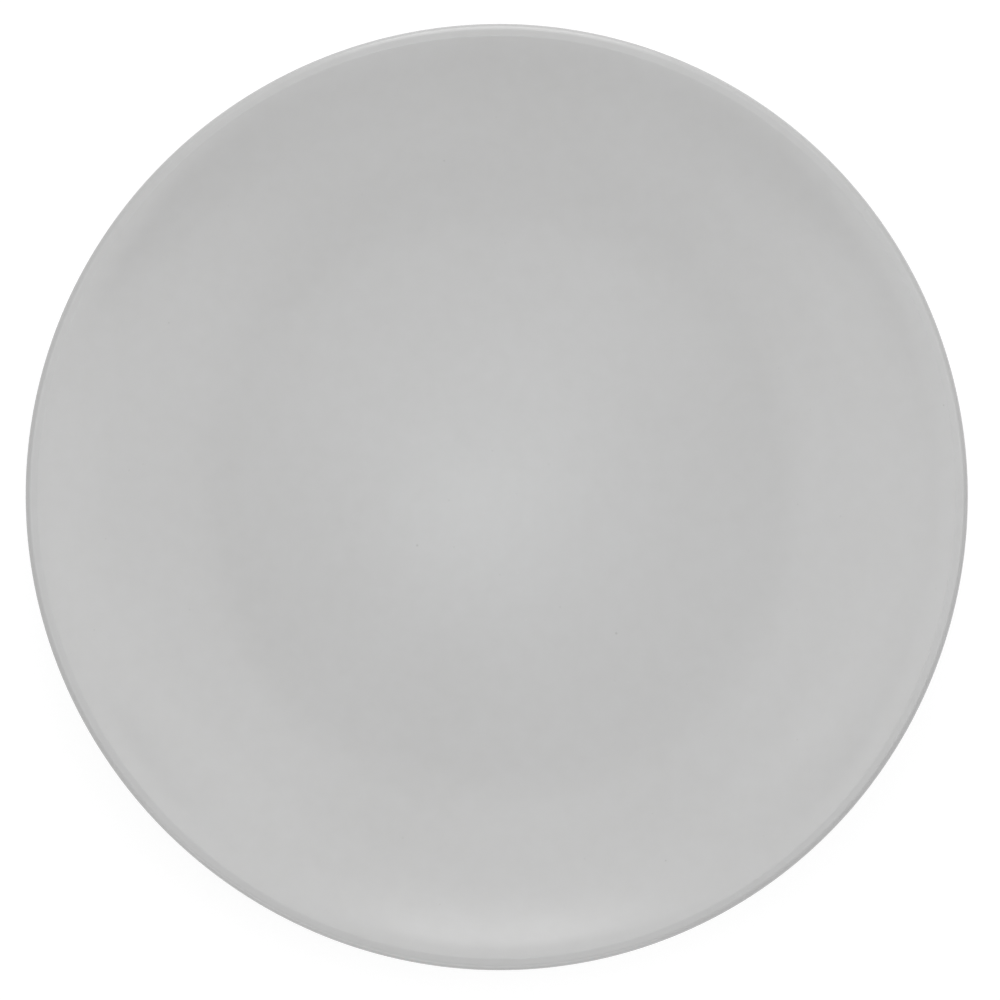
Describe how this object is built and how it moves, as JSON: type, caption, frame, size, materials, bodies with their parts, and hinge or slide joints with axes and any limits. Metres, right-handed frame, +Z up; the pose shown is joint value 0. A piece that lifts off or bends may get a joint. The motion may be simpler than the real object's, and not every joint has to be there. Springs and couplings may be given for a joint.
{
  "type": "salad plate",
  "caption": "Round coupe salad plate with a gently dished well, a wall that turns up to a rounded lip, a satin grey glaze and a foot ring with a bare standing face.",
  "frame": {"origin": "middle of the plate, on the plane that its foot ring stands on", "axes": "+Z up along the axis of revolution, from the foot ring to the open side; +X and +Y across the plate, any two directions at right angles"},
  "size_m": [0.21, 0.21, 0.0264],
  "materials": {
    "clay": "bare fired clay, fine grained and matt",
    "glaze": "pale grey satin glaze with sparse fine dark specks"
  },
  "bodies": {
    "root": {"clay_body": "clay", "glaze_coat": "glaze", "foot_recess_glaze": "glaze"}
  },
  "joints": []
}
